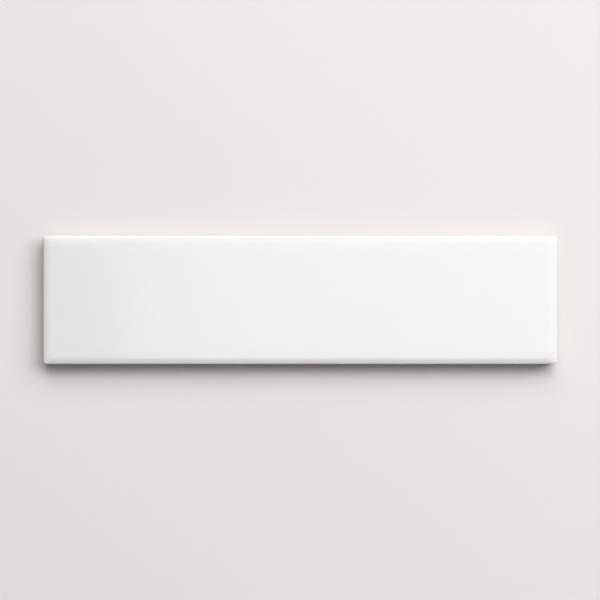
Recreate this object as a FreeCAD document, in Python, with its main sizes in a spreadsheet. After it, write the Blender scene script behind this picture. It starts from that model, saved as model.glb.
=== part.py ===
"""Subway wall tile: one dust-pressed and glazed ceramic piece, 300 x 75 x 8 mm, lying on its back.

The frame has its origin at the middle of the back, +X along the tile's length, +Y across its width and
+Z out of the glazed face. All lengths are in millimetres.

The tile is a flat slab with round upright corners. The last few millimetres of its face fall away as a
cushion: a very long radius, the crown, runs into a shorter one, the shoulder, and a small radius, the arris,
turns that slope down into the upright side. The back has a chamfer round it and a waffle of shallow cells,
which the wall's mortar keys into.
"""

import FreeCAD, Part

import math
import os

import Sketcher

# Driving dimensions: alias, value, what it is.
SIZES = (
    ("face_length", 300.0, "length of the tile, the 12 in size"),
    ("face_width", 75.0, "width of the tile, the 3 in size"),
    ("tile_thickness", 8.0, "from the back to the flat of the face"),
    ("corner_radius", 2.0, "plan radius of the four upright corners"),
    ("crown_width", 8.0, "how far in from the side the face starts to fall"),
    ("crown_radius", 90.0, "long radius that the fall starts with, tangent to the flat of the face"),
    ("flat_corner_radius", 4.0, "plan radius of the corners where the fall starts"),
    ("shoulder_width", 4.0, "how far in from the side the fall steepens"),
    ("shoulder_radius", 14.0, "radius of the steeper fall, tangent to the crown"),
    ("arris_radius", 0.6, "radius between the fall and the upright side"),
    ("back_chamfer", 0.8, "chamfer round the back"),
    ("back_margin", 5.0, "flat border of the back, outside the cells"),
    ("cells_along", 24, "number of cells along the back"),
    ("cells_across", 6, "number of cells across the back"),
    ("rib_width", 2.0, "rib left between two cells, at the face of the back"),
    ("cell_depth", 0.8, "depth of a cell"),
    ("cell_draft", 35.0, "how far a cell's walls lean in, in degrees"),
)
CROWN_STEPS = 3
SHOULDER_STEPS = 5
SAME_HEIGHT = 1e-6
CORNERS = 4
QUARTER_TURN = math.pi / 2

# The points of a line or an arc that a size is taken from, and the point where the two axes cross.
BEGIN, END, MIDDLE = range(1, 4)
AXES_CROSS = (-1, 1)


def add_sheet(doc):
    """The table that holds every driving dimension under its alias."""
    sheet = doc.addObject("Spreadsheet::Sheet", "Sizes")
    for row, (alias, value, note) in enumerate(SIZES, start=1):
        sheet.set(f"A{row}", alias)
        sheet.set(f"B{row}", str(value))
        sheet.setAlias(f"B{row}", alias)
        sheet.set(f"C{row}", note)
    doc.recompute()
    return sheet


def worth(sheet, expression):
    """The number that an expression comes to."""
    return float(sheet.evalExpression(expression))


def origin_feature(body, role):
    """One of the body's own origin planes or axes, such as XY_Plane or X_Axis."""
    return next(feature for feature in body.Origin.OriginFeatures if feature.Role == role)


def add_level_sketch(body, name, height="0"):
    """A sketch on the body's XY plane, raised to the height that the expression gives."""
    sketch = body.newObject("Sketcher::SketchObject", name)
    sketch.AttachmentSupport = [(origin_feature(body, "XY_Plane"), "")]
    sketch.MapMode = "FlatFace"
    sketch.setExpression("AttachmentOffset.Base.z", height)
    return sketch


def tie(sketch, kind, *parts):
    """Adds a constraint that holds no dimension."""
    sketch.addConstraint(Sketcher.Constraint(kind, *parts))


def drive(sketch, sheet, name, expression, kind, *parts):
    """Adds a dimension and binds it to an expression."""
    index = sketch.addConstraint(Sketcher.Constraint(kind, *parts, worth(sheet, expression)))
    sketch.renameConstraint(index, name)
    sketch.setExpression(f"Constraints.{name}", expression)


def draw_rounded_rectangle(sketch, sheet, length, width, radius):
    """A rectangle with round corners, centred on the origin, with its sizes given as expressions."""
    half_x, half_y, r = worth(sheet, length) / 2, worth(sheet, width) / 2, worth(sheet, radius)
    flat_x, flat_y = half_x - r, half_y - r
    point = FreeCAD.Vector
    sides = (
        (point(-flat_x, -half_y), point(flat_x, -half_y)),
        (point(half_x, -flat_y), point(half_x, flat_y)),
        (point(flat_x, half_y), point(-flat_x, half_y)),
        (point(-half_x, flat_y), point(-half_x, -flat_y)),
    )
    centres = (point(flat_x, -flat_y), point(flat_x, flat_y), point(-flat_x, flat_y), point(-flat_x, -flat_y))
    lines = [sketch.addGeometry(Part.LineSegment(*side), False) for side in sides]
    arcs = []
    for corner, centre in enumerate(centres):
        first = (corner - 1) * QUARTER_TURN
        circle = Part.Circle(centre, point(0, 0, 1), r)
        arcs.append(sketch.addGeometry(Part.ArcOfCircle(circle, first, first + QUARTER_TURN), False))
    for corner in range(CORNERS):
        tie(sketch, "Tangent", lines[corner], END, arcs[corner], BEGIN)
        tie(sketch, "Tangent", arcs[corner], END, lines[(corner + 1) % CORNERS], BEGIN)
    bottom, right, top, left = lines
    tie(sketch, "Horizontal", bottom)
    tie(sketch, "Vertical", right)
    tie(sketch, "Horizontal", top)
    tie(sketch, "Vertical", left)
    for arc in arcs[1:]:
        tie(sketch, "Equal", arcs[0], arc)
    tie(sketch, "Symmetric", arcs[0], MIDDLE, arcs[2], MIDDLE, *AXES_CROSS)
    drive(sketch, sheet, "radius", radius, "Radius", arcs[0])
    drive(sketch, sheet, "length", length, "DistanceX", left, BEGIN, right, BEGIN)
    drive(sketch, sheet, "width", width, "DistanceY", bottom, BEGIN, top, BEGIN)


def draw_corner_cell(sketch, sheet, length, width, to_left, to_bottom):
    """A plain rectangle. to_left and to_bottom are how far its left and lower sides lie from the origin."""
    left, bottom = -worth(sheet, to_left), -worth(sheet, to_bottom)
    right, top = left + worth(sheet, length), bottom + worth(sheet, width)
    point = FreeCAD.Vector
    corners = (point(left, bottom), point(right, bottom), point(right, top), point(left, top))
    lines = []
    for corner in range(CORNERS):
        side = Part.LineSegment(corners[corner], corners[(corner + 1) % CORNERS])
        lines.append(sketch.addGeometry(side, False))
    for corner in range(CORNERS):
        tie(sketch, "Coincident", lines[corner], END, lines[(corner + 1) % CORNERS], BEGIN)
    for corner in (0, 2):
        tie(sketch, "Horizontal", lines[corner])
        tie(sketch, "Vertical", lines[corner + 1])
    drive(sketch, sheet, "length", length, "DistanceX", lines[0], BEGIN, lines[0], END)
    drive(sketch, sheet, "width", width, "DistanceY", lines[1], BEGIN, lines[1], END)
    drive(sketch, sheet, "to_left", to_left, "DistanceX", lines[0], BEGIN, *AXES_CROSS)
    drive(sketch, sheet, "to_bottom", to_bottom, "DistanceY", lines[0], BEGIN, *AXES_CROSS)


def level_line(inset, fall):
    """One level line of the cushion, as expressions: how far it lies in from the side, how far below the flat
    of the face, and its corner radius, which grows inwards.
    """
    growth = "(Sizes.flat_corner_radius - Sizes.corner_radius) / Sizes.crown_width"
    return inset, fall, f"(Sizes.corner_radius + {growth} * {inset})"


def crown_line(share):
    """A level line of the crown. share runs from 0, where the fall starts, to 1, where it steepens."""
    lean = f"{share} * asin((Sizes.crown_width - Sizes.shoulder_width) / Sizes.crown_radius)"
    inset = f"(Sizes.crown_width - Sizes.crown_radius * sin({lean}))"
    return level_line(inset, f"Sizes.crown_radius * (1 - cos({lean}))")


def shoulder_line(share):
    """A level line of the shoulder. share runs from 0, where the fall steepens, to 1, at the rim."""
    first = "asin((Sizes.crown_width - Sizes.shoulder_width) / Sizes.crown_radius)"
    middle = f"(Sizes.shoulder_width + Sizes.shoulder_radius * sin({first}))"
    last = f"asin({middle} / Sizes.shoulder_radius)"
    lean = f"({first} + {share} * ({last} - {first}))"
    inset = f"({middle} - Sizes.shoulder_radius * sin({lean}))"
    crown_fall = f"Sizes.crown_radius * (1 - cos({first}))"
    return level_line(inset, f"({crown_fall} + Sizes.shoulder_radius * (cos({first}) - cos({lean})))")


def rim_height():
    """The height of the rim, where the slab ends and the cushion starts, as an expression."""
    fall = shoulder_line(1)[1]
    return f"Sizes.tile_thickness - {fall}"


def add_slab(body, sheet):
    """The pressed slab, with upright sides, up to the rim."""
    outline = add_level_sketch(body, "slab_outline")
    draw_rounded_rectangle(outline, sheet, "Sizes.face_length", "Sizes.face_width", "Sizes.corner_radius")
    slab = body.newObject("PartDesign::Pad", "pressed_slab")
    slab.Profile = outline
    slab.setExpression("Length", rim_height())
    return slab


def add_fall(body, sheet, name, lines):
    """One part of the cushion: a smooth loft from its lowest level line up to its highest.

    The level lines keep a small corner radius that grows inwards, so two falls meet in a soft mitre.
    """
    sketches = []
    for number, (inset, fall, corner) in enumerate(lines, start=1):
        sketch = add_level_sketch(body, f"{name}_line_{number}", f"Sizes.tile_thickness - {fall}")
        length = f"Sizes.face_length - 2 * {inset}"
        width = f"Sizes.face_width - 2 * {inset}"
        draw_rounded_rectangle(sketch, sheet, length, width, corner)
        sketches.append(sketch)
    loft = body.newObject("PartDesign::AdditiveLoft", name)
    loft.Profile = sketches[0]
    loft.Sections = sketches[1:]
    loft.Ruled = False
    return loft


def add_cushion(body, sheet):
    """The shoulder, from the rim to where the fall steepens, and the crown, from there to the flat."""
    shoulder_lines = [shoulder_line(1 - step / SHOULDER_STEPS) for step in range(SHOULDER_STEPS + 1)]
    crown_lines = [crown_line(1 - step / CROWN_STEPS) for step in range(CROWN_STEPS + 1)]
    add_fall(body, sheet, "shoulder", shoulder_lines)
    return add_fall(body, sheet, "crown", crown_lines)


def edges_at(shape, height):
    """The names of the edges that lie level at one height."""
    names = []
    for number, edge in enumerate(shape.Edges, start=1):
        if all(abs(vertex.Point.z - height) < SAME_HEIGHT for vertex in edge.Vertexes):
            names.append(f"Edge{number}")
    return names


def add_arris(body, sheet, cushion):
    """The small radius that turns the cushion down into the upright side, all the way round."""
    arris = body.newObject("PartDesign::Fillet", "arris")
    arris.Base = (cushion, edges_at(cushion.Shape, worth(sheet, rim_height())))
    arris.setExpression("Radius", "Sizes.arris_radius")
    return arris


def add_back_edge(body, base):
    """The chamfer round the back."""
    back_edge = body.newObject("PartDesign::Chamfer", "back_edge")
    back_edge.Base = (base, edges_at(base.Shape, 0))
    back_edge.setExpression("Size", "Sizes.back_chamfer")
    return back_edge


def add_corner_cell(body, sheet):
    """The first cell of the back's waffle, at its lower left corner, narrowing into the tile."""
    along = "(Sizes.face_length - 2 * Sizes.back_margin + Sizes.rib_width) / Sizes.cells_along"
    across = "(Sizes.face_width - 2 * Sizes.back_margin + Sizes.rib_width) / Sizes.cells_across"
    outline = add_level_sketch(body, "corner_cell_outline")
    length = f"{along} - Sizes.rib_width"
    width = f"{across} - Sizes.rib_width"
    to_left = "Sizes.face_length / 2 - Sizes.back_margin"
    to_bottom = "Sizes.face_width / 2 - Sizes.back_margin"
    draw_corner_cell(outline, sheet, length, width, to_left, to_bottom)
    cell = body.newObject("PartDesign::Pocket", "corner_cell")
    cell.Profile = outline
    cell.Reversed = True
    cell.setExpression("Length", "Sizes.cell_depth")
    cell.setExpression("TaperAngle", "-Sizes.cell_draft")
    return cell, along, across


def add_waffle(body, cell, along, across):
    """The cell repeated along and across the back, with a rib between each two."""
    waffle = body.newObject("PartDesign::LinearPattern", "waffle")
    waffle.Originals = [cell]
    waffle.Direction = (origin_feature(body, "X_Axis"), [""])
    waffle.Mode = "Extent"
    waffle.setExpression("Length", f"(Sizes.cells_along - 1) * {along}")
    waffle.setExpression("Occurrences", "Sizes.cells_along")
    waffle.Direction2 = (origin_feature(body, "Y_Axis"), [""])
    waffle.Mode2 = "Extent"
    waffle.setExpression("Length2", f"(Sizes.cells_across - 1) * {across}")
    waffle.setExpression("Occurrences2", "Sizes.cells_across")
    return waffle


def check(doc, body):
    """Stops if an object of the document failed, or if the tile is not one valid solid."""
    for item in doc.Objects:
        if "Invalid" in item.State or "Error" in item.State:
            raise RuntimeError(f"{item.Name} did not recompute: {item.State}")
    if body.Shape.isNull() or not body.Shape.isValid() or len(body.Shape.Solids) != 1:
        raise RuntimeError(f"{body.Label} is not one valid solid")


def check_cut(before, after):
    """Stops if a feature that cuts took nothing away."""
    if after.Shape.Volume >= before.Shape.Volume:
        raise RuntimeError(f"{after.Name} cuts nothing")


def main():
    doc = FreeCAD.newDocument("subway_wall_tile")
    sheet = add_sheet(doc)
    body = doc.addObject("PartDesign::Body", "tile")
    body.Label = "tile"
    add_slab(body, sheet)
    cushion = add_cushion(body, sheet)
    doc.recompute()
    arris = add_arris(body, sheet, cushion)
    doc.recompute()
    back_edge = add_back_edge(body, arris)
    doc.recompute()
    cell, along, across = add_corner_cell(body, sheet)
    doc.recompute()
    waffle = add_waffle(body, cell, along, across)
    body.Tip = waffle
    doc.recompute()
    body.Placement = FreeCAD.Placement()
    check(doc, body)
    check_cut(arris, back_edge)
    check_cut(back_edge, cell)
    check_cut(cell, waffle)
    os.makedirs("parts", exist_ok=True)
    body.Shape.exportStep(f"parts/{body.Label}.step")
    box = body.Shape.BoundBox
    print(f"{body.Label}: {box.XLength:.2f} x {box.YLength:.2f} x {box.ZLength:.2f} mm")
    print(f"volume {body.Shape.Volume:.0f} mm3, {len(body.Shape.Faces)} faces")


main()
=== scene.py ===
# %% [markdown]
# A subway wall tile is one slab of pressed clay with a white glaze melted onto its face. It is plain, so
# everything that makes it read as a real tile is at its edges: the face falls away in a soft cushion, the
# glaze rolls over the arris and stops in an uneven line on the side, and raw clay shows below that line.
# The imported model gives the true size. It is loaded first and never moved, and the looks are made round it.

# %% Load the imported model
import math

import bmesh
import bpy
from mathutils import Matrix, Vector, noise


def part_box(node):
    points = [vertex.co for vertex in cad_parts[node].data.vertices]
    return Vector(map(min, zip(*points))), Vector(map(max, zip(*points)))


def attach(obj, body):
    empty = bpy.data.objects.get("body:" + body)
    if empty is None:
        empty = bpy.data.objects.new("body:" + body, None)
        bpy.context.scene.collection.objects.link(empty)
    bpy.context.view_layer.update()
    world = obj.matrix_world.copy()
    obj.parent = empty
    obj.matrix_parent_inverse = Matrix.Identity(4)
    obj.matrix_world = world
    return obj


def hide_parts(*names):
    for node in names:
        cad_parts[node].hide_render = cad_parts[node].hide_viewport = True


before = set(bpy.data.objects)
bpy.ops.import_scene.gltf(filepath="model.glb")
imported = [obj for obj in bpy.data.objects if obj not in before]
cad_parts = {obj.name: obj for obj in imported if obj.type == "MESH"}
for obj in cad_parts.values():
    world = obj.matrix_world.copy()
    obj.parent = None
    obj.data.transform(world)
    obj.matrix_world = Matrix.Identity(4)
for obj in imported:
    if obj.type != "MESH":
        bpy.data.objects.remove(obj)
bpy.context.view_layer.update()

MM = 0.001
tile_low, tile_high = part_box("tile")
tile_size = tile_high - tile_low
print("tile, mm:", [round(side / MM, 2) for side in tile_size])

# %% [markdown]
# The photograph looks straight down on the tile from far off, so the long sides stay parallel. A long lens
# does that. Its distance follows from the two columns of pixels that the ends of the tile should touch, and
# these are read off the photograph.

# %% Camera, straight above the face
PICTURE_WIDTH_PX = 600
LEFT_END_PX = 42
RIGHT_END_PX = 556
LENS_MM = 85.0
SENSOR_MM = 36.0


def add_object(name, data):
    """Puts a mesh, a lamp or a camera into the scene as an object."""
    made = bpy.data.objects.new(name, data)
    bpy.context.collection.objects.link(made)
    return made


def add_camera():
    """A long lens over the middle of the tile, with the top of the picture towards +Y."""
    data = bpy.data.cameras.new("overhead_camera")
    data.lens = LENS_MM
    data.sensor_width = SENSOR_MM
    camera = add_object("overhead_camera", data)
    share = (RIGHT_END_PX - LEFT_END_PX) / PICTURE_WIDTH_PX
    distance = tile_size.x / share * LENS_MM / SENSOR_MM
    camera.location = (0, 0, tile_high.z + distance)
    bpy.context.scene.camera = camera
    return camera


camera = add_camera()
print("camera height, m:", round(camera.location.z, 3))

# %% [markdown]
# The tile's section is what the light draws. From the flat, a very long radius starts the fall, a shorter
# one steepens it, and a small one, the arris, turns it down into the upright side. A bevel can't make this,
# because the fall is wider than the corners are round. So the section is a list of level lines. Each one
# says how far it lies in from the side, how high it lies, how round its corners are, whether it carries
# glaze, how thin that glaze is, and how far the line follows the uneven lower edge of the glaze.

# %% The section's sizes
CORNER_RADIUS = 2.0 * MM
CROWN_WIDTH = 8.0 * MM
CROWN_RADIUS = 90.0 * MM
FLAT_CORNER_RADIUS = 4.0 * MM
SHOULDER_WIDTH = 4.0 * MM
SHOULDER_RADIUS = 14.0 * MM
ARRIS_RADIUS = 0.6 * MM


def level_line(inset, height, corner=CORNER_RADIUS, glazed=True, follows_edge=0.0, thin=0.0):
    """One level line of the section."""
    return {
        "inset": inset, "height": height, "corner": corner,
        "glazed": glazed, "follows_edge": follows_edge, "thin": thin,
    }


def corner_at(inset):
    """The corner radius of a level line of the fall: it grows inwards, so two falls meet in a soft mitre."""
    return CORNER_RADIUS + (FLAT_CORNER_RADIUS - CORNER_RADIUS) * inset / CROWN_WIDTH


corner_sizes = [round(corner_at(inset) / MM, 2) for inset in (0, SHOULDER_WIDTH, CROWN_WIDTH)]
print("corner radius at the side, the shoulder and the flat, mm:", corner_sizes)

# %% [markdown]
# Crown, shoulder and arris are three arcs that touch without a corner. An arc could be cut at even widths,
# but then its steep end would get too few lines and show flat facets in the gloss. So each arc is cut at
# even steps of its lean. The glaze runs thin over the arris, most in the middle of it, and the lines there
# say so.

# %% The fall of the face
CROWN_STEPS = 5
SHOULDER_STEPS = 9
ARRIS_STEPS = 9
ARRIS_THINNING = 0.4


def arc_lines(middle_inset, middle_height, radius, first, last, steps):
    """Level lines along one arc of the section, from its first lean up to its last, which is left out."""
    lines = []
    for step in range(steps):
        lean = first + (last - first) * step / steps
        inset = middle_inset - radius * math.sin(lean)
        lines.append(level_line(inset, middle_height + radius * math.cos(lean), corner_at(inset)))
    return lines


def fall_lines():
    """Crown, shoulder and arris, from the flat of the face to the top of the upright side."""
    crown_middle = tile_size.z - CROWN_RADIUS
    steepens = math.asin((CROWN_WIDTH - SHOULDER_WIDTH) / CROWN_RADIUS)
    shoulder_inset = SHOULDER_WIDTH + SHOULDER_RADIUS * math.sin(steepens)
    shoulder_middle = crown_middle + (CROWN_RADIUS - SHOULDER_RADIUS) * math.cos(steepens)
    turns = math.asin((shoulder_inset - ARRIS_RADIUS) / (SHOULDER_RADIUS - ARRIS_RADIUS))
    arris_middle = shoulder_middle + (SHOULDER_RADIUS - ARRIS_RADIUS) * math.cos(turns)
    upright = math.pi / 2
    crown = arc_lines(CROWN_WIDTH, crown_middle, CROWN_RADIUS, 0, steepens, CROWN_STEPS)
    shoulder = arc_lines(shoulder_inset, shoulder_middle, SHOULDER_RADIUS, steepens, turns, SHOULDER_STEPS)
    arris = arc_lines(ARRIS_RADIUS, arris_middle, ARRIS_RADIUS, turns, upright, ARRIS_STEPS)
    for number, line in enumerate(arris):
        line["thin"] = ARRIS_THINNING * math.sin(math.pi * number / ARRIS_STEPS)
    return crown + shoulder + arris + [level_line(0, arris_middle)]


fall = fall_lines()
print("fall of the face, mm:", round((fall[0]["height"] - fall[-1]["height"]) / MM, 2))

# %% [markdown]
# Below the arris the glaze runs on for a millimetre or two and stops. It has a thickness there, so it ends
# in a small rounded lip, and the clay under it stands back by that thickness. At the bottom the clay turns
# round a chamfer into the back.

# %% The side, down to the back
GLAZE_EDGE_HEIGHT = 5.2 * MM
GLAZE_THICKNESS = 0.16 * MM
# The lip, line by line: inset as a share of the glaze's thickness, height above the glaze's lower edge, how
# far the line follows that edge, and how thin the glaze is.
LIP_LINES = (
    (0.00, 0.40 * MM, 0.7, 0.2),
    (0.00, 0.22 * MM, 1.0, 0.5),
    (0.25, 0.09 * MM, 1.0, 0.8),
    (0.80, 0.00 * MM, 1.0, 1.0),
    (1.00, -0.03 * MM, 1.0, 1.0),
)
CLAY_START = 0.30 * MM
BACK_CHAMFER = 0.8 * MM
CHAMFER_START = 0.25 * MM
CHAMFER_EASE = 0.10 * MM
CHAMFER_RUNOUT = 0.15 * MM
CHAMFER_CORNER = CORNER_RADIUS - 0.5 * MM
BACK_CORNER = CORNER_RADIUS - 0.6 * MM


def lip_lines():
    """The rounded lip in which the glaze ends, level with its uneven lower edge."""
    return [
        level_line(share * GLAZE_THICKNESS, GLAZE_EDGE_HEIGHT + above, follows_edge=follows_edge, thin=thin)
        for share, above, follows_edge, thin in LIP_LINES
    ]


def clay_lines():
    """Raw clay from under the lip down to the chamfer, and round it into the back."""
    film = GLAZE_THICKNESS
    chamfer = BACK_CHAMFER
    raw = {"glazed": False}
    return [
        level_line(film, GLAZE_EDGE_HEIGHT - CLAY_START, follows_edge=1.0, **raw),
        level_line(film, GLAZE_EDGE_HEIGHT / 2, **raw),
        level_line(film, chamfer + CHAMFER_START, **raw),
        level_line(film + CHAMFER_EASE, chamfer - CHAMFER_EASE, **raw),
        level_line(chamfer - CHAMFER_EASE, CHAMFER_EASE, CHAMFER_CORNER, **raw),
        level_line(chamfer + CHAMFER_RUNOUT, 0.0, BACK_CORNER, **raw),
    ]


section = fall + lip_lines() + clay_lines()
print("level lines:", len(section), "of which", sum(line["glazed"] for line in section), "carry glaze")

# %% [markdown]
# The mesh starts as a flat grid. Its border is extruded once for each level line, all still in plain grid
# numbers, and a last pass puts every vertex where the section says. At a corner the grid's square is
# squeezed into a quarter circle, so every level line has round corners without a single triangle on the
# face.

# %% The net of the face and sides
FACE_STEPS_X = 196
FACE_STEPS_Y = 52
CORNER_STEPS = 4


def border_edges(net):
    """The edges that have a face on one side only."""
    return [edge for edge in net.edges if len(edge.link_faces) == 1]


def make_net():
    """A grid with one ring of faces hung from its border for each level line after the first."""
    net = bmesh.new()
    bmesh.ops.create_grid(net, x_segments=FACE_STEPS_X, y_segments=FACE_STEPS_Y, size=1.0)
    for _ in section[1:]:
        made = bmesh.ops.extrude_edge_only(net, edges=border_edges(net))
        ring = [item for item in made["geom"] if isinstance(item, bmesh.types.BMVert)]
        bmesh.ops.translate(net, verts=ring, vec=(0, 0, -1))
    return net


net = make_net()
print("net:", len(net.verts), "vertices,", len(net.faces), "faces")

# %% [markdown]
# Nothing that was pressed, glazed and fired is quite true. The sides wander by a few hundredths of a
# millimetre, the face has very shallow dips that only a reflection shows, and the glaze's lower edge rises
# and falls, with a drip here and there. Smooth noise does all of it. It is read at the place of each
# vertex, so the tile comes out the same each time.

# %% How true the tile is
EDGE_WANDER = 0.05 * MM
EDGE_WANDER_LENGTH = 55 * MM
EDGE_WANDER_SEED = 1.7
FACE_DIP = 0.03 * MM
FACE_DIP_LENGTH = 26 * MM
FACE_DIP_SEED = 5.2
GLAZE_EDGE_WANDER = 0.4 * MM
GLAZE_EDGE_LENGTH = 9 * MM
GLAZE_EDGE_SEED = 3.1
DRIP_FALL = 3.4 * MM
DRIP_LENGTH = 16 * MM
DRIP_SEED = 8.4
DRIP_START = 0.2
DRIP_NARROWING = 1.5
SEED_DIRECTION = (1.0, 0.7, 1.3)
LOOK_EVERY_MM = 5


def wobble(place, size, seed):
    """Smooth noise from -1 to 1 whose humps are about size apart. Another seed reads it somewhere else."""
    away = Vector([seed * share for share in SEED_DIRECTION])
    return noise.noise(place / size + away)


def glaze_edge_shift(place):
    """How far the glaze's lower edge lies above its usual height, or below it where the value is negative."""
    wander = GLAZE_EDGE_WANDER * wobble(place, GLAZE_EDGE_LENGTH, GLAZE_EDGE_SEED)
    drip = max(wobble(place, DRIP_LENGTH, DRIP_SEED) - DRIP_START, 0) ** DRIP_NARROWING
    return wander - DRIP_FALL * drip


half_length = round(tile_size.x / 2 / MM)
stations = range(-half_length, half_length + 1, LOOK_EVERY_MM)
shifts = [glaze_edge_shift(Vector((x * MM, -tile_size.y / 2, 0))) / MM for x in stations]
print("glaze edge along the near side, mm: from", round(min(shifts), 2), "to", round(max(shifts), 2))

# %% [markdown]
# Each vertex still carries its number along, its number across and the number of its level line. From these
# come its place on the line and then the wobble. The raw clay's vertices are remembered, because a face
# belongs to the glaze only if none of its corners is raw.

# %% Put the net in its place
def along_side(number, steps):
    """Where a grid number from -1 to 1 falls: its sign, its share of the straight part and of the corner."""
    count = abs(number) * steps / 2
    straight = steps / 2 - CORNER_STEPS
    sign = 1 if number > 0 else -1
    return sign, min(count, straight) / straight, max(count - straight, 0) / CORNER_STEPS


def place_on(line, x_number, y_number):
    """The point of a level line that a point of the grid becomes, seen from above."""
    sign_x, straight_x, corner_x = along_side(x_number, FACE_STEPS_X)
    sign_y, straight_y, corner_y = along_side(y_number, FACE_STEPS_Y)
    round_x = corner_x * math.sqrt(1 - corner_y ** 2 / 2)
    round_y = corner_y * math.sqrt(1 - corner_x ** 2 / 2)
    flat_x = tile_size.x / 2 - line["inset"] - line["corner"]
    flat_y = tile_size.y / 2 - line["inset"] - line["corner"]
    x = sign_x * (straight_x * flat_x + line["corner"] * round_x)
    y = sign_y * (straight_y * flat_y + line["corner"] * round_y)
    return Vector((x, y, 0))


def shape_net(net):
    """Moves every vertex from grid numbers to its real place and writes down how thin its glaze is."""
    thin = net.verts.layers.float.new("thin")
    rim = fall[-1]["height"]
    raw_verts = set()
    for vert in net.verts:
        line = section[round(-vert.co.z)]
        place = place_on(line, vert.co.x, vert.co.y)
        inward = EDGE_WANDER * (0.5 + 0.5 * wobble(place, EDGE_WANDER_LENGTH, EDGE_WANDER_SEED))
        dip = FACE_DIP * (0.5 + 0.5 * wobble(place, FACE_DIP_LENGTH, FACE_DIP_SEED))
        dip_share = max(line["height"] - rim, 0) / (tile_size.z - rim)
        height = line["height"] + line["follows_edge"] * glaze_edge_shift(place) - dip_share * dip
        share_x = 1 - 2 * inward / tile_size.x
        share_y = 1 - 2 * inward / tile_size.y
        vert.co = (place.x * share_x, place.y * share_y, tile_low.z + height)
        vert[thin] = line["thin"]
        if not line["glazed"]:
            raw_verts.add(vert)
    return raw_verts


raw_verts = shape_net(net)
heights = [vert.co.z / MM for vert in net.verts]
print("shaped, heights from", round(min(heights), 3), "to", round(max(heights), 3), "mm")

# %% [markdown]
# The back is pressed with a waffle of shallow cells, so that the adhesive keys in. Every cell is one face
# of a second grid, whose lines lie at the edges of the ribs. A pocket could be cut for each of them with a
# boolean, but that is slow and leaves ragged faces. Inset with a depth presses all the cells in at once and
# leans their walls, and a small bevel takes the knife edge off the ribs, as the press does.

# %% The waffle of the back
BACK_MARGIN = 5.0 * MM
CELLS_ALONG = 24
CELLS_ACROSS = 6
RIB_WIDTH = 2.0 * MM
CELL_DEPTH = 0.8 * MM
CELL_DRAFT = math.radians(35)
RIB_SOFTNESS = 0.22 * MM
RIB_SEGMENTS = 2
LEVEL_WITHIN = 0.01 * MM
WALL_RISES_ABOVE = 0.1 * MM


def rib_lines(side, cells):
    """The places of the cells' edges along one side, from the first cell's outer edge to the last one's."""
    pitch = (side - 2 * BACK_MARGIN + RIB_WIDTH) / cells
    lines = []
    for cell in range(cells):
        start = -side / 2 + BACK_MARGIN + cell * pitch
        lines += [start, start + pitch - RIB_WIDTH]
    return lines


def add_waffle(net):
    """A grid of cells and ribs in the plane of the back, joined to the last ring of the net."""
    lines_x = rib_lines(tile_size.x, CELLS_ALONG)
    lines_y = rib_lines(tile_size.y, CELLS_ACROSS)
    last_x = len(lines_x) - 1
    last_y = len(lines_y) - 1
    made = bmesh.ops.create_grid(net, x_segments=last_x, y_segments=last_y, size=1.0)
    numbers = {}
    for vert in made["verts"]:
        number_x = round((vert.co.x + 1) / 2 * last_x)
        number_y = round((vert.co.y + 1) / 2 * last_y)
        numbers[vert] = (number_x, number_y)
        vert.co = (lines_x[number_x], lines_y[number_y], tile_low.z)
    faces = {face for vert in made["verts"] for face in vert.link_faces}
    bmesh.ops.reverse_faces(net, faces=list(faces))
    cells = []
    for face in faces:
        corner_x = min(numbers[vert][0] for vert in face.verts)
        corner_y = min(numbers[vert][1] for vert in face.verts)
        if corner_x % 2 == 0 and corner_y % 2 == 0:
            cells.append(face)
    bmesh.ops.bridge_loops(net, edges=border_edges(net))
    return cells


def rise_of(face):
    """How far the middle of a face lies above the plane of the back."""
    return face.calc_center_median().z - tile_low.z


def press_cells(net, cells):
    """Presses the cells in with leaning walls and softens the ribs' edges."""
    lean = CELL_DEPTH * math.tan(CELL_DRAFT)
    bmesh.ops.inset_individual(net, faces=cells, thickness=lean, depth=-CELL_DEPTH)
    mouths = []
    for edge in net.edges:
        level = all(abs(vert.co.z - tile_low.z) < LEVEL_WITHIN for vert in edge.verts)
        if level and max(rise_of(face) for face in edge.link_faces) > WALL_RISES_ABOVE:
            mouths.append(edge)
    bmesh.ops.bevel(
        net, geom=mouths, offset=RIB_SOFTNESS, offset_type="OFFSET", segments=RIB_SEGMENTS, profile=0.5,
        affect="EDGES", material=-1,
    )


glazed_faces = [face for face in net.faces if raw_verts.isdisjoint(face.verts)]
cells = add_waffle(net)
press_cells(net, cells)
bmesh.ops.recalc_face_normals(net, faces=net.faces)
print("cells:", len(cells), "open edges left:", len(border_edges(net)))

# %% [markdown]
# The mesh wears two finishes, glaze and raw clay, and every face is told which of them it has. The line
# between the two is a real edge of the mesh, the lip of the glaze, so the change can be sharp. Extrude and
# bevel build the same shape in each run, but in another order. So at the end the vertices are sorted by
# where they lie, and the faces by their vertices.

# %% Finish the piece
GLAZE_SLOT = 0
CLAY_SLOT = 1
SHARP_FROM = math.radians(40)


def put_in_order(items, rank):
    """Sorts vertices or faces by a rank that comes out the same in each run."""
    for number, item in enumerate(sorted(items, key=rank)):
        item.index = number
    items.sort()


def mesh_from(net, name):
    """Turns a finished net into a mesh and lets the net go."""
    mesh = bpy.data.meshes.new(name)
    net.to_mesh(mesh)
    net.free()
    return mesh


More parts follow.
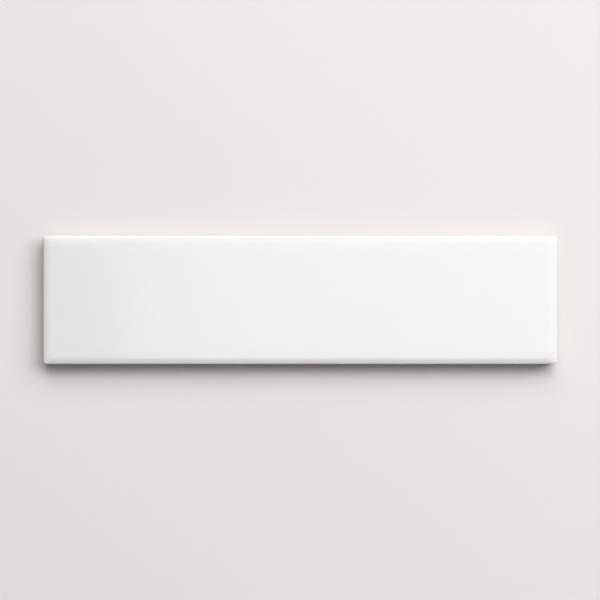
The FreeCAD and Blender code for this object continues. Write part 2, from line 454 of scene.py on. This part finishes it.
def finish_piece(name, net, glazed_faces):
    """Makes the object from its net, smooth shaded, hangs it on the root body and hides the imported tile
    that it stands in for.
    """
    for face in net.faces:
        face.material_index = CLAY_SLOT
    for face in glazed_faces:
        face.material_index = GLAZE_SLOT
    put_in_order(net.verts, lambda vert: tuple(vert.co))
    put_in_order(net.faces, lambda face: sorted(vert.index for vert in face.verts))
    mesh = mesh_from(net, name)
    mesh.shade_smooth()
    mesh.set_sharp_from_angle(angle=SHARP_FROM)
    piece = add_object(name, mesh)
    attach(piece, "root")
    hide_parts("tile")
    return piece


tile = finish_piece("glazed_tile", net, glazed_faces)
print(tile.name, len(tile.data.polygons), "faces")

# %% [markdown]
# Materials are small networks of nodes. These helpers add a node, feed a socket from either a number or
# another node, blend two colours or two numbers by a mask, and let a number fade over a stretch, so that
# the materials below read like recipes.

# %% Helpers for nodes
def add_node(tree, kind, **settings):
    """A node with its settings given by name."""
    node = tree.nodes.new(kind)
    for key, value in settings.items():
        setattr(node, key, value)
    return node


def feed(tree, socket, value):
    """Links another node's output to a socket, or sets the socket to a plain value."""
    if isinstance(value, bpy.types.NodeSocket):
        tree.links.new(value, socket)
    else:
        socket.default_value = value


def place_of(tree):
    """Where each point of the surface lies, in the object's own coordinates."""
    return add_node(tree, "ShaderNodeTexCoord").outputs["Object"]


def blend_colours(tree, mask, low, high):
    """The low colour where the mask is 0, the high one where it is 1."""
    node = add_node(tree, "ShaderNodeMix", data_type="RGBA")
    feed(tree, node.inputs["Factor"], mask)
    feed(tree, node.inputs["A"], low)
    feed(tree, node.inputs["B"], high)
    return node.outputs["Result"]


def blend_numbers(tree, mask, low, high):
    """The low number where the mask is 0, the high one where it is 1."""
    node = add_node(tree, "ShaderNodeMapRange")
    feed(tree, node.inputs["Value"], mask)
    feed(tree, node.inputs["To Min"], low)
    feed(tree, node.inputs["To Max"], high)
    return node.outputs["Result"]


def up_to(tree, mask, most):
    """A number that grows with the mask, from 0 up to the most it can be."""
    return blend_numbers(tree, mask, 0.0, most)


def fade_between(tree, value, start, end, at_start=0.0, at_end=1.0):
    """A number that goes softly from one level where the value is start to another where it is end."""
    node = add_node(tree, "ShaderNodeMapRange", interpolation_type="SMOOTHSTEP")
    feed(tree, node.inputs["Value"], value)
    feed(tree, node.inputs["From Min"], start)
    feed(tree, node.inputs["From Max"], end)
    feed(tree, node.inputs["To Min"], at_start)
    feed(tree, node.inputs["To Max"], at_end)
    return node.outputs["Result"]


def calculate(tree, operation, first, second=0.0):
    """One sum, product or the like of two numbers."""
    node = add_node(tree, "ShaderNodeMath", operation=operation)
    feed(tree, node.inputs[0], first)
    feed(tree, node.inputs[1], second)
    return node.outputs["Value"]


def total(tree, numbers):
    """The sum of several numbers."""
    result = numbers[0]
    for number in numbers[1:]:
        result = calculate(tree, "ADD", result, number)
    return result


# %% [markdown]
# Glaze and clay share two effects. Clouds are soft patches of any size, from the grain of the clay to the
# slow waves in the glaze. Pits are small round holes at random places, the pinholes that gas leaves on its
# way out in the kiln. Each is a node group that is built once and placed in both materials with its own
# numbers.

# %% Shared effects
NOISE_LOW = 0.3
NOISE_HIGH = 0.7


def new_group(name, inputs):
    """An empty node group with number inputs and one number output, called Mask."""
    group = bpy.data.node_groups.new(name, "ShaderNodeTree")
    for title, value in inputs.items():
        socket = group.interface.new_socket(name=title, in_out="INPUT", socket_type="NodeSocketFloat")
        socket.default_value = value
    group.interface.new_socket(name="Mask", in_out="OUTPUT", socket_type="NodeSocketFloat")
    return group, add_node(group, "NodeGroupInput"), add_node(group, "NodeGroupOutput")


def make_clouds():
    """Soft patches about Size metres across, from 0 to 1. Stretch below 1 draws them out along Z.

    Nearly all of the noise lies between NOISE_LOW and NOISE_HIGH, so these two become 0 and 1.
    """
    group, given, result = new_group("clouds", {"Size": 0.01, "Detail": 2.0, "Stretch": 1.0})
    squeeze = add_node(group, "ShaderNodeCombineXYZ")
    squeeze.inputs["X"].default_value = 1.0
    squeeze.inputs["Y"].default_value = 1.0
    feed(group, squeeze.inputs["Z"], given.outputs["Stretch"])
    stretched = add_node(group, "ShaderNodeVectorMath", operation="MULTIPLY")
    feed(group, stretched.inputs[0], place_of(group))
    feed(group, stretched.inputs[1], squeeze.outputs["Vector"])
    cloud = add_node(group, "ShaderNodeTexNoise")
    feed(group, cloud.inputs["Vector"], stretched.outputs["Vector"])
    feed(group, cloud.inputs["Scale"], calculate(group, "DIVIDE", 1.0, given.outputs["Size"]))
    feed(group, cloud.inputs["Detail"], given.outputs["Detail"])
    spread = add_node(group, "ShaderNodeMapRange")
    spread.inputs["From Min"].default_value = NOISE_LOW
    spread.inputs["From Max"].default_value = NOISE_HIGH
    feed(group, spread.inputs["Value"], cloud.outputs["Fac"])
    feed(group, result.inputs["Mask"], spread.outputs["Result"])
    return group


def make_pits():
    """Round pits, 1 in the middle and 0 outside. Radius is a share of Spacing, Share how many are kept."""
    group, given, result = new_group("pits", {"Spacing": 0.004, "Radius": 0.15, "Share": 0.3})
    cell = add_node(group, "ShaderNodeTexVoronoi")
    feed(group, cell.inputs["Vector"], place_of(group))
    feed(group, cell.inputs["Scale"], calculate(group, "DIVIDE", 1.0, given.outputs["Spacing"]))
    bowl = fade_between(group, cell.outputs["Distance"], 0.0, given.outputs["Radius"], 1.0, 0.0)
    draw = add_node(group, "ShaderNodeSeparateColor")
    feed(group, draw.inputs["Color"], cell.outputs["Color"])
    kept = calculate(group, "LESS_THAN", draw.outputs["Red"], given.outputs["Share"])
    feed(group, result.inputs["Mask"], calculate(group, "MULTIPLY", bowl, kept))
    return group


clouds = make_clouds()
pits = make_pits()
print("shared effects:", clouds.name, pits.name)

# %% [markdown]
# Both materials place the shared effects by name, start from one surface shader and turn a height into a
# bump in the same way. Three small helpers do this. Heights are written in millimetres, as a potter would
# say them.

# %% Helpers for materials
def place_effect(tree, group, **inputs):
    """Places a shared effect in a material, with sizes in metres, and returns its mask."""
    node = add_node(tree, "ShaderNodeGroup", node_tree=group)
    for title, value in inputs.items():
        node.inputs[title].default_value = value
    return node.outputs["Mask"]


def new_material(name):
    """A material with its one glossy or dull surface shader."""
    material = bpy.data.materials.new(name)
    material.use_nodes = True
    return material, material.node_tree, material.node_tree.nodes["Principled BSDF"]


def add_relief(tree, surface, height_mm):
    """Turns a height in millimetres into a bump."""
    bump = add_node(tree, "ShaderNodeBump")
    bump.inputs["Distance"].default_value = MM
    feed(tree, bump.inputs["Height"], height_mm)
    feed(tree, surface.inputs["Normal"], bump.outputs["Normal"])


# %% [markdown]
# The glaze is glass made white by fine grains in it. It is nearly flat, with the slow waves and the faint
# orange peel that melted glass keeps, and a rare pinhole. Where it thins, over the arris and at its lip,
# the clay warms its colour a little. One surface shader is enough: the white is its colour, and its gloss
# is the glass. The relief is in millimetres and tiny, since gloss shows a slope long before an outline
# does.

# %% Glaze
GLAZE_WHITE = (0.787, 0.790, 0.791, 1)
GLAZE_MILKY = (0.780, 0.785, 0.789, 1)
GLAZE_THIN = (0.70, 0.63, 0.58, 1)
GLAZE_IOR = 1.5
GLAZE_ROUGHNESS_LEAST = 0.13
GLAZE_ROUGHNESS_MOST = 0.19
WAVE_HEIGHT_MM = 0.02
PEEL_HEIGHT_MM = 0.0016
PINHOLE_DEPTH_MM = 0.06


def white_glaze():
    """White and glossy, warmer where it is thin, with slow waves, orange peel and rare pinholes."""
    material, tree, surface = new_material("fired_white_glaze")
    surface.inputs["IOR"].default_value = GLAZE_IOR
    milky = place_effect(tree, clouds, Size=38 * MM, Detail=2.0)
    thin = add_node(tree, "ShaderNodeAttribute", attribute_name="thin").outputs["Fac"]
    body = blend_colours(tree, milky, GLAZE_WHITE, GLAZE_MILKY)
    feed(tree, surface.inputs["Base Color"], blend_colours(tree, thin, body, GLAZE_THIN))
    breath = place_effect(tree, clouds, Size=9 * MM, Detail=3.0)
    roughness = blend_numbers(tree, breath, GLAZE_ROUGHNESS_LEAST, GLAZE_ROUGHNESS_MOST)
    feed(tree, surface.inputs["Roughness"], roughness)
    waves = place_effect(tree, clouds, Size=17 * MM, Detail=1.0)
    peel = place_effect(tree, clouds, Size=2.3 * MM, Detail=1.0)
    pinholes = place_effect(tree, pits, Spacing=11 * MM, Radius=0.022, Share=0.35)
    relief = total(tree, [
        up_to(tree, waves, WAVE_HEIGHT_MM),
        up_to(tree, peel, PEEL_HEIGHT_MM),
        up_to(tree, pinholes, -PINHOLE_DEPTH_MM),
    ])
    add_relief(tree, surface, relief)
    return material


glaze = white_glaze()
print("glaze:", glaze.name, "with", len(glaze.node_tree.nodes), "nodes")

# %% [markdown]
# The clay is dull, a pinkish brown and uneven in colour, with coarse grains, open pits and the fine upright
# scratches that the press leaves on the sides. The ribs of the back carry a thin chalky wash that stops the
# tile from sticking to the kiln's rollers, so the clay turns pale there. A picture of clay would blur close
# up. Noise and pits stay sharp at any distance and never repeat.

# %% Raw clay
CLAY_PALE = (0.345, 0.25, 0.212, 1)
CLAY_DEEP = (0.23, 0.159, 0.132, 1)
CLAY_GRAIN = (0.135, 0.088, 0.07, 1)
CLAY_FLECK = (0.52, 0.42, 0.36, 1)
KILN_WASH = (0.72, 0.685, 0.65, 1)
CLAY_ROUGHNESS_LEAST = 0.78
CLAY_ROUGHNESS_MOST = 0.92
SCRATCH_TINT = 0.35
GRAIN_TINT = 0.22
COARSE_TINT = 0.75
FLECK_TINT = 0.6
GRAIN_HEIGHT_MM = 0.03
SCRATCH_HEIGHT_MM = 0.02
HOLE_DEPTH_MM = 0.15
WASH_HEIGHT_MM = 0.03
WASH_TOP = 0.22 * MM
WASH_LEFT_WHERE_WORN = 0.25


def wash_mask(tree):
    """1 in the plane of the ribs, where the clay touched the wash, and 0 above it, worn away in patches."""
    place = add_node(tree, "ShaderNodeSeparateXYZ")
    feed(tree, place.inputs["Vector"], place_of(tree))
    low = fade_between(tree, place.outputs["Z"], tile_low.z, tile_low.z + WASH_TOP, 1.0, 0.0)
    worn = place_effect(tree, clouds, Size=5 * MM, Detail=6.0)
    left = blend_numbers(tree, worn, WASH_LEFT_WHERE_WORN, 1.0)
    return calculate(tree, "MULTIPLY", low, left)


def raw_clay():
    """Dull pinkish brown clay, uneven and grained, with flecks, scratches, holes and a wash on the ribs."""
    material, tree, surface = new_material("raw_clay")
    patches = place_effect(tree, clouds, Size=6 * MM, Detail=6.0)
    scratches = place_effect(tree, clouds, Size=0.5 * MM, Detail=3.0, Stretch=0.08)
    grain = place_effect(tree, clouds, Size=0.3 * MM, Detail=2.0)
    coarse = place_effect(tree, pits, Spacing=1.3 * MM, Radius=0.34, Share=0.3)
    flecks = place_effect(tree, pits, Spacing=0.9 * MM, Radius=0.3, Share=0.2)
    holes = place_effect(tree, pits, Spacing=2.6 * MM, Radius=0.16, Share=0.5)
    wash = wash_mask(tree)
    body = blend_colours(tree, patches, CLAY_PALE, CLAY_DEEP)
    scratched = blend_colours(tree, up_to(tree, scratches, SCRATCH_TINT), body, CLAY_PALE)
    grained = blend_colours(tree, up_to(tree, grain, GRAIN_TINT), scratched, CLAY_GRAIN)
    speckled = blend_colours(tree, up_to(tree, coarse, COARSE_TINT), grained, CLAY_GRAIN)
    flecked = blend_colours(tree, up_to(tree, flecks, FLECK_TINT), speckled, CLAY_FLECK)
    feed(tree, surface.inputs["Base Color"], blend_colours(tree, wash, flecked, KILN_WASH))
    roughness = blend_numbers(tree, grain, CLAY_ROUGHNESS_LEAST, CLAY_ROUGHNESS_MOST)
    feed(tree, surface.inputs["Roughness"], roughness)
    relief = total(tree, [
        up_to(tree, grain, GRAIN_HEIGHT_MM),
        up_to(tree, scratches, SCRATCH_HEIGHT_MM),
        up_to(tree, holes, -HOLE_DEPTH_MM),
        up_to(tree, wash, WASH_HEIGHT_MM),
    ])
    add_relief(tree, surface, relief)
    return material


clay = raw_clay()
tile.data.materials.append(glaze)
tile.data.materials.append(clay)
print("finishes:", [material.name for material in tile.data.materials])

# %% [markdown]
# The studio is a pale warm floor under a wide soft lamp, high up beyond the tile and a little to the right.
# A weaker lamp nearer the right side makes the light grow from left to right. Soft lamps have to be large:
# the wide one is why the shadow along the near side fades so slowly. A white card hangs over the right of
# the tile. It adds no light to what is dull. The glaze mirrors it, which brightens the face from left to
# right and leaves the outer slopes of the left and near sides darker. Far from the tile the floor fades
# into the colour of the dome, so that no horizon shows, but only to the camera and in reflections.

# %% Floor
FLOOR_COLOUR = (0.803, 0.773, 0.766, 1)
BACKDROP_COLOUR = (0.80, 0.772, 0.765, 1)
FLOOR_ROUGHNESS = 0.9
FLOOR_RADIUS = 6.0
FLOOR_SEGMENTS = 96
FLOOR_FADE_START = 0.2
FLOOR_FADE_END = 0.46
FLOOR_GAP = 0.02 * MM


def seen_directly(tree):
    """1 for what the camera sees or a glossy or clear surface shows, and 0 for what only sheds light."""
    ray = add_node(tree, "ShaderNodeLightPath")
    mirrored = calculate(tree, "MAXIMUM", ray.outputs["Is Glossy Ray"], ray.outputs["Is Transmission Ray"])
    return calculate(tree, "MAXIMUM", ray.outputs["Is Camera Ray"], mirrored)


def blend_shaders(tree, mask, low, high, output):
    """Sends one shader or the other to the output, by a mask."""
    node = add_node(tree, "ShaderNodeMixShader")
    feed(tree, node.inputs["Fac"], mask)
    feed(tree, node.inputs[1], low)
    feed(tree, node.inputs[2], high)
    feed(tree, tree.nodes[output].inputs["Surface"], node.outputs["Shader"])


def pale_floor():
    """A matt painted board near the tile, which fades with distance into the colour of the dome."""
    material, tree, surface = new_material("pale_floor")
    surface.inputs["Base Color"].default_value = FLOOR_COLOUR
    surface.inputs["Roughness"].default_value = FLOOR_ROUGHNESS
    surface.inputs["Specular IOR Level"].default_value = 0.0
    distance = add_node(tree, "ShaderNodeVectorMath", operation="LENGTH")
    feed(tree, distance.inputs[0], place_of(tree))
    fade = fade_between(tree, distance.outputs["Value"], FLOOR_FADE_START, FLOOR_FADE_END)
    share = calculate(tree, "MULTIPLY", fade, seen_directly(tree))
    glow = add_node(tree, "ShaderNodeEmission")
    glow.inputs["Color"].default_value = BACKDROP_COLOUR
    blend_shaders(tree, share, surface.outputs["BSDF"], glow.outputs["Emission"], "Material Output")
    return material


def add_floor():
    """A round level board a hair under the tile, which is stage and no part of the object."""
    net = bmesh.new()
    bmesh.ops.create_circle(net, cap_ends=True, radius=FLOOR_RADIUS, segments=FLOOR_SEGMENTS)
    floor = add_object("floor", mesh_from(net, "floor"))
    floor.location.z = tile_low.z - FLOOR_GAP
    floor.data.materials.append(pale_floor())
    return floor


floor = add_floor()
print("floor at, mm:", round(floor.location.z / MM, 3))

# %% [markdown]
# A lamp is set by the side it stands on, its height in degrees, its distance, its size and its power. That
# is how a studio is set up by hand, and two of these numbers say what a shadow does: its length comes from
# the height and its softness from the size against the distance. The dome fills what the lamps leave dark.
# White glaze burns out where it mirrors a strong lamp, and its form is lost. A photographer turns a
# polarising filter then. Here the key is two lamps in one place, one that only lights and a dimmer one that
# only the gloss shows.

# %% Lamps and dome
KEY_DIRECTION = (62, 37)
KEY_DISTANCE = 3.4
KEY_SIZE = (6.6, 2.7)
KEY_WATTS = 245.0
KEY_COLOUR = (0.99, 1.0, 1.0)
MIRRORED_SHARE = 0.4
SIDE_DIRECTION = (10, 30)
SIDE_DISTANCE = 1.4
SIDE_SIZE = (1.0, 0.8)
SIDE_WATTS = 2.9
CARD_PLACE = (0.30, 0.11, 1.3)
CARD_SIZE = (1.12, 0.82)
CARD_WATTS = 6.4
DOME_COLOUR = (1.0, 0.93, 0.92, 1)
DOME_STRENGTH = 0.17


def add_lamp(name, size, watts):
    """A soft box that shines straight down until it is aimed."""
    data = bpy.data.lights.new(name, "AREA")
    data.shape = "RECTANGLE"
    data.size, data.size_y = size
    data.energy = watts
    return add_object(name, data)


def aim(lamp, direction, distance):
    """Faces a lamp to the tile. The direction is an angle round from +X and a height, in degrees."""
    round_angle, height = (math.radians(angle) for angle in direction)
    level = math.cos(height)
    towards = Vector((math.cos(round_angle) * level, math.sin(round_angle) * level, math.sin(height)))
    lamp.location = towards * distance
    lamp.rotation_mode = "QUATERNION"
    lamp.rotation_quaternion = (-towards).to_track_quat("-Z", "Y")


def add_dome():
    """An even dim light from all round, which looks like the backdrop where it is seen."""
    world = bpy.data.worlds.new("dome")
    world.use_nodes = True
    tree = world.node_tree
    light = tree.nodes["Background"]
    light.inputs["Color"].default_value = DOME_COLOUR
    light.inputs["Strength"].default_value = DOME_STRENGTH
    backdrop = add_node(tree, "ShaderNodeBackground")
    backdrop.inputs["Color"].default_value = BACKDROP_COLOUR
    shaders = (light.outputs["Background"], backdrop.outputs["Background"])
    blend_shaders(tree, seen_directly(tree), *shaders, "World Output")
    bpy.context.scene.world = world


key_lamp = add_lamp("key_lamp", KEY_SIZE, KEY_WATTS)
key_mirror = add_lamp("key_mirror", KEY_SIZE, KEY_WATTS * MIRRORED_SHARE)
for lamp in (key_lamp, key_mirror):
    lamp.data.color = KEY_COLOUR
    aim(lamp, KEY_DIRECTION, KEY_DISTANCE)
side_lamp = add_lamp("side_lamp", SIDE_SIZE, SIDE_WATTS)
aim(side_lamp, SIDE_DIRECTION, SIDE_DISTANCE)
card = add_lamp("white_card", CARD_SIZE, CARD_WATTS)
card.location = CARD_PLACE
key_lamp.visible_glossy = False
key_mirror.visible_diffuse = False
card.visible_diffuse = False
add_dome()
bpy.context.scene.view_settings.view_transform = "Standard"
lamps = (key_lamp, key_mirror, side_lamp, card)
print("lamps, W:", {lamp.name: round(lamp.data.energy, 1) for lamp in lamps})
